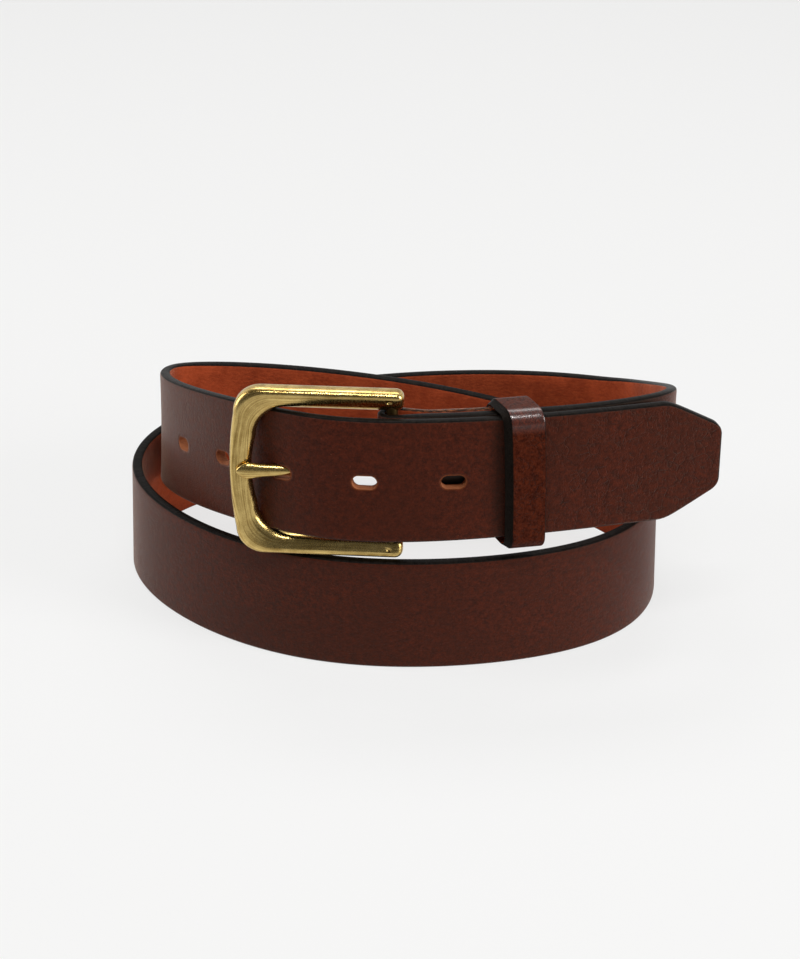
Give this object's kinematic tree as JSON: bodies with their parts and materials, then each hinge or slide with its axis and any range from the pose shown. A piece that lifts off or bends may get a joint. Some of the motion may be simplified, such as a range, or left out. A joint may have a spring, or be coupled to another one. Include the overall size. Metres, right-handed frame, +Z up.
{
  "type": "leather belt",
  "caption": "Plain leather belt, buckled and coiled in stacked turns, with a heel-bar frame buckle, a prong, oblong holes and a loose keeper loop.",
  "frame": {"origin": "floor point under the middle of the whole coil", "axes": "+X along the coil's long side, towards the free end; +Z up; the buckle faces -Y"},
  "size_m": [0.1834, 0.1166, 0.0909],
  "materials": {
    "strap_leather": "smooth dark brown grain, black painted edges, orange-brown flesh side",
    "keeper_leather": "smooth dark brown grain, black painted edges",
    "antique_brass": "antique brass, softly brushed, dark in the recesses",
    "fastener_steel": "plain nickel-plated steel"
  },
  "bodies": {
    "strap": {"strap": "strap_leather", "screw_post_near": "fastener_steel", "post_screw_near": "fastener_steel", "screw_post_far": "fastener_steel", "post_screw_far": "fastener_steel"},
    "buckle": {"buckle_frame": "antique_brass", "heel_bar": "antique_brass"},
    "prong": {"prong": "antique_brass"},
    "keeper": {"keeper_loop": "keeper_leather", "keeper_staple": "fastener_steel"}
  },
  "joints": [
    {"name": "buckle_swing", "type": "hinge", "parent": "strap", "child": "buckle", "pos_m": [-0.00507, -0.04791, 0.06543], "axis": [0.0072, 0.1236, 0.9923], "range_deg": [-2, 8], "deforming": ["strap"]},
    {"name": "prong_pivot", "type": "hinge", "parent": "buckle", "child": "prong", "pos_m": [-0.00507, -0.04791, 0.06543], "axis": [0.0072, 0.1236, 0.9923], "range_deg": [0, 12], "deforming": ["strap"]},
    {"name": "keeper_slide", "type": "slide", "parent": "strap", "child": "keeper", "axis": [0.9908, 0.134, 0.0173], "range_m": [-0.005, 0.008]}
  ]
}
